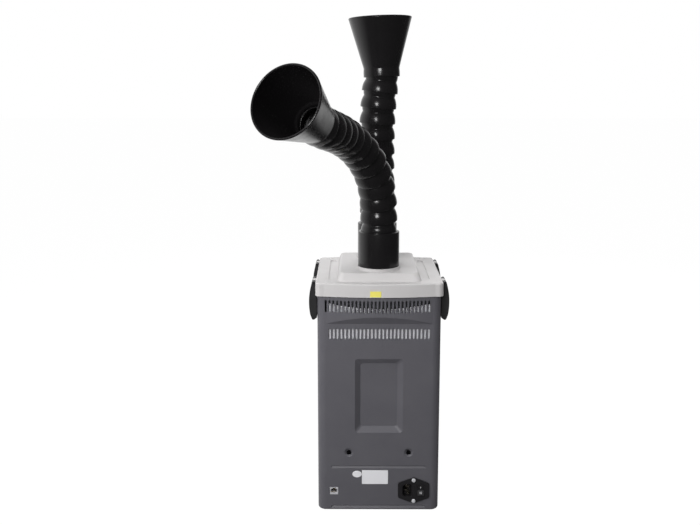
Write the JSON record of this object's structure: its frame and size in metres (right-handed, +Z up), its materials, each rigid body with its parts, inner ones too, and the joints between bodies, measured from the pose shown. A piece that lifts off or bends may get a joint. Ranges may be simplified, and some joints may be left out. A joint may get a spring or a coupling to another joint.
{
  "type": "fume extractor",
  "caption": "portable fume extractor with a dark filter cabinet, a light latched lid and two black ball-and-socket suction arms with funnels",
  "frame": {"origin": "on the ground, below the middle of the cabinet", "axes": "X to the right seen from the pictured rear, -Y out of the rear, +Y out of the operator's side, Z up"},
  "size_m": [0.3206, 0.4909, 0.8962],
  "materials": {
    "cabinet_plastic": "fine grained moulding",
    "lid_plastic": "satin moulding",
    "arm_plastic": "smooth gloss moulding",
    "latch_plastic": "satin moulding",
    "inlet_plastic": "satin moulding",
    "socket_plastic": "satin moulding",
    "sheet_steel": "plain zinc-coated sheet",
    "screw_steel": "bright zinc",
    "contact_metal": "nickel-plated",
    "foot_rubber": "plain",
    "seal_rubber": "soft foam skin",
    "lead_rubber": "plain sheath",
    "fleece": "loose felt",
    "filter_paper": "pleated glass paper",
    "cassette_board": "plain fibre board",
    "fan_plastic": "plain moulding",
    "motor_paint": "satin",
    "circuit_board": "solder mask",
    "panel_plastic": "satin moulding",
    "window_plastic": "clear smoked",
    "key_plastic": "satin moulding",
    "label_white": "printed film, blank",
    "label_yellow": "printed film, blank"
  },
  "bodies": {
    "cabinet": {"cabinet_shell": "cabinet_plastic", "base_plate": "sheet_steel", "rubber_feet": "foot_rubber", "case_screws": "screw_steel", "filter_chamber": "sheet_steel", "exhaust_fleece": "fleece", "gas_filter": "cassette_board", "particle_filter_frame": "cassette_board", "particle_filter_pleats": "filter_paper", "prefilter_mat": "fleece", "fan_plate": "sheet_steel", "fan_housing": "fan_plastic", "fan_motor": "motor_paint", "mains_inlet": "inlet_plastic", "inlet_contacts": "contact_metal", "inlet_screws": "screw_steel", "interface_socket": "socket_plastic", "rating_labels": "label_white", "control_panel": "panel_plastic", "display_window": "window_plastic", "control_board": "circuit_board", "power_supply": "circuit_board", "wiring": "lead_rubber", "lid": "lid_plastic", "lid_seals": "seal_rubber", "lid_label": "label_yellow", "latch_pins": "screw_steel"},
    "near_sleeve": {"near_sleeve": "arm_plastic"},
    "near_segment_01": {"near_segment_01": "arm_plastic"},
    "near_segment_02": {"near_segment_02": "arm_plastic"},
    "near_segment_03": {"near_segment_03": "arm_plastic"},
    "near_segment_04": {"near_segment_04": "arm_plastic"},
    "near_segment_05": {"near_segment_05": "arm_plastic"},
    "near_segment_06": {"near_segment_06": "arm_plastic"},
    "near_segment_07": {"near_segment_07": "arm_plastic"},
    "near_segment_08": {"near_segment_08": "arm_plastic"},
    "near_segment_09": {"near_segment_09": "arm_plastic"},
    "near_segment_10": {"near_segment_10": "arm_plastic"},
    "near_segment_11": {"near_segment_11": "arm_plastic"},
    "near_funnel": {"near_funnel": "arm_plastic"},
    "far_sleeve": {"far_sleeve": "arm_plastic"},
    "far_segment_01": {"far_segment_01": "arm_plastic"},
    "far_segment_02": {"far_segment_02": "arm_plastic"},
    "far_segment_03": {"far_segment_03": "arm_plastic"},
    "far_segment_04": {"far_segment_04": "arm_plastic"},
    "far_segment_05": {"far_segment_05": "arm_plastic"},
    "far_segment_06": {"far_segment_06": "arm_plastic"},
    "far_segment_07": {"far_segment_07": "arm_plastic"},
    "far_segment_08": {"far_segment_08": "arm_plastic"},
    "far_segment_09": {"far_segment_09": "arm_plastic"},
    "far_funnel": {"far_funnel": "arm_plastic"},
    "latch_rear_left": {"latch_rear_left": "latch_plastic"},
    "latch_rear_right": {"latch_rear_right": "latch_plastic"},
    "latch_front_left": {"latch_front_left": "latch_plastic"},
    "latch_front_right": {"latch_front_right": "latch_plastic"},
    "rocker_switch": {"rocker_switch": "inlet_plastic"},
    "fan_impeller": {"fan_impeller": "fan_plastic"},
    "key_minus": {"key_minus": "key_plastic"},
    "key_plus": {"key_plus": "key_plastic"}
  },
  "joints": [
    {"name": "near_swivel", "type": "hinge", "parent": "cabinet", "child": "near_sleeve", "pos_m": [0, -0.048, 0.47], "axis": [0, 0, 1], "range_deg": [-60, 120]},
    {"name": "near_bend_01", "type": "hinge", "parent": "near_sleeve", "child": "near_segment_01", "pos_m": [0, -0.048, 0.532], "axis": [0.9705, -0.241, 0], "range_deg": [-20.2, 3.8]},
    {"name": "near_bend_02", "type": "hinge", "parent": "near_segment_01", "child": "near_segment_02", "pos_m": [-0.00099, -0.05198, 0.5603], "axis": [-0.4974, -0.8152, -0.2966], "range_deg": [-7.5, 7.5]},
    {"name": "near_bend_03", "type": "hinge", "parent": "near_segment_02", "child": "near_segment_03", "pos_m": [-0.00434, -0.05986, 0.58759], "axis": [-0.7999, 0.5956, 0.0738], "range_deg": [-1.6, 22.4]},
    {"name": "near_bend_04", "type": "hinge", "parent": "near_segment_03", "child": "near_segment_04", "pos_m": [-0.01066, -0.0715, 0.61294], "axis": [0.6457, 0.4928, 0.5832], "range_deg": [-6.7, 6.7]},
    {"name": "near_bend_05", "type": "hinge", "parent": "near_segment_04", "child": "near_segment_05", "pos_m": [-0.02034, -0.0858, 0.63574], "axis": [0.7501, -0.6549, -0.0924], "range_deg": [-21.6, 2.4]},
    {"name": "near_bend_06", "type": "hinge", "parent": "near_segment_05", "child": "near_segment_06", "pos_m": [-0.0326, -0.10261, 0.65536], "axis": [-0.1519, -0.5502, -0.8211], "range_deg": [-6.6, 6.6]},
    {"name": "near_bend_07", "type": "hinge", "parent": "near_segment_06", "child": "near_segment_07", "pos_m": [-0.04582, -0.12247, 0.67112], "axis": [-0.8866, 0.3691, -0.2787], "range_deg": [-2.4, 21.6]},
    {"name": "near_bend_08", "type": "hinge", "parent": "near_segment_07", "child": "near_segment_08", "pos_m": [-0.05891, -0.14501, 0.68291], "axis": [-0.4622, 0.4579, 0.7594], "range_deg": [-7.5, 7.5]},
    {"name": "near_bend_09", "type": "hinge", "parent": "near_segment_08", "child": "near_segment_09", "pos_m": [-0.06998, -0.17003, 0.69125], "axis": [0.7868, -0.1485, 0.599], "range_deg": [-18.4, 5.6]},
    {"name": "near_bend_10", "type": "hinge", "parent": "near_segment_09", "child": "near_segment_10", "pos_m": [-0.07946, -0.19635, 0.69717], "axis": [0.5694, -0.3335, -0.7513], "range_deg": [-11.8, 11.8]},
    {"name": "near_bend_11", "type": "hinge", "parent": "near_segment_10", "child": "near_segment_11", "pos_m": [-0.08833, -0.22305, 0.7023], "axis": [0.6569, -0.0744, 0.7503], "range_deg": [-7.9, 16.1]},
    {"name": "near_funnel_tilt", "type": "hinge", "parent": "near_segment_11", "child": "near_funnel", "pos_m": [-0.09859, -0.24897, 0.7087], "axis": [0.3291, -0.5172, -0.7901], "range_deg": [-6.7, 6.7]},
    {"name": "far_swivel", "type": "hinge", "parent": "cabinet", "child": "far_sleeve", "pos_m": [0, 0.048, 0.47], "axis": [0, 0, -1], "range_deg": [-135, 135]},
    {"name": "far_bend_01", "type": "hinge", "parent": "far_sleeve", "child": "far_segment_01", "pos_m": [0, 0.048, 0.532], "axis": [0, -1, 0], "range_deg": [-13, 11]},
    {"name": "far_bend_02", "type": "hinge", "parent": "far_segment_01", "child": "far_segment_02", "pos_m": [-0.0005, 0.048, 0.5606], "axis": [0.0006, -0.9994, -0.0349], "range_deg": [-11.8, 11.8]},
    {"name": "far_bend_03", "type": "hinge", "parent": "far_segment_02", "child": "far_segment_03", "pos_m": [-0.001, 0.047, 0.58917], "axis": [-0.9998, 0, -0.0175], "range_deg": [-10, 14]},
    {"name": "far_bend_04", "type": "hinge", "parent": "far_segment_03", "child": "far_segment_04", "pos_m": [-0.0015, 0.04501, 0.6177], "axis": [-0.4466, 0.8899, 0.0935], "range_deg": [-11.8, 11.8]},
    {"name": "far_bend_05", "type": "hinge", "parent": "far_segment_04", "child": "far_segment_05", "pos_m": [-0.0015, 0.04202, 0.64614], "axis": [1, 0, 0], "range_deg": [-13, 11]},
    {"name": "far_bend_06", "type": "hinge", "parent": "far_segment_05", "child": "far_segment_06", "pos_m": [-0.0015, 0.03853, 0.67453], "axis": [0.7053, 0.7062, 0.0619], "range_deg": [-11.9, 11.9]},
    {"name": "far_bend_07", "type": "hinge", "parent": "far_segment_06", "child": "far_segment_07", "pos_m": [-0.001, 0.03554, 0.70297], "axis": [0.7059, -0.703, -0.0862], "range_deg": [-9.2, 14.8]},
    {"name": "far_bend_08", "type": "hinge", "parent": "far_segment_07", "child": "far_segment_08", "pos_m": [0.00049, 0.03355, 0.73146], "axis": [-0.7055, -0.7078, 0.0369], "range_deg": [-11.7, 11.7]},
    {"name": "far_bend_09", "type": "hinge", "parent": "far_segment_08", "child": "far_segment_09", "pos_m": [0.00298, 0.03255, 0.75993], "axis": [-0.7021, 0.7069, 0.0862], "range_deg": [-14.8, 9.2]},
    {"name": "far_funnel_tilt", "type": "hinge", "parent": "far_segment_09", "child": "far_funnel", "pos_m": [0.00647, 0.03255, 0.78832], "axis": [-0.9994, 0, -0.0349], "range_deg": [-8, 8]},
    {"name": "latch_rear_left_hinge", "type": "hinge", "parent": "cabinet", "child": "latch_rear_left", "pos_m": [-0.1166, -0.076, 0.424], "axis": [0, 1, 0], "range_deg": [0, 90]},
    {"name": "latch_rear_right_hinge", "type": "hinge", "parent": "cabinet", "child": "latch_rear_right", "pos_m": [0.1166, -0.076, 0.424], "axis": [0, -1, 0], "range_deg": [0, 90]},
    {"name": "latch_front_left_hinge", "type": "hinge", "parent": "cabinet", "child": "latch_front_left", "pos_m": [-0.1166, 0.076, 0.424], "axis": [0, 1, 0], "range_deg": [0, 90]},
    {"name": "latch_front_right_hinge", "type": "hinge", "parent": "cabinet", "child": "latch_front_right", "pos_m": [0.1166, 0.076, 0.424], "axis": [0, -1, 0], "range_deg": [0, 90]},
    {"name": "rocker_tilt", "type": "hinge", "parent": "cabinet", "child": "rocker_switch", "pos_m": [0.077, -0.1084, 0.041], "axis": [1, 0, 0], "range_deg": [0, 18]},
    {"name": "impeller_spin", "type": "hinge", "parent": "cabinet", "child": "fan_impeller", "pos_m": [0, 0.005, 0.074], "axis": [0, 0, 1], "continuous": true},
    {"name": "key_minus_press", "type": "slide", "parent": "cabinet", "child": "key_minus", "axis": [0, -1, 0], "range_m": [0, 0.0012], "stiffness_N_per_m": 600, "springref_m": -0.0005},
    {"name": "key_plus_press", "type": "slide", "parent": "cabinet", "child": "key_plus", "axis": [0, -1, 0], "range_m": [0, 0.0012], "stiffness_N_per_m": 600, "springref_m": -0.0005}
  ]
}
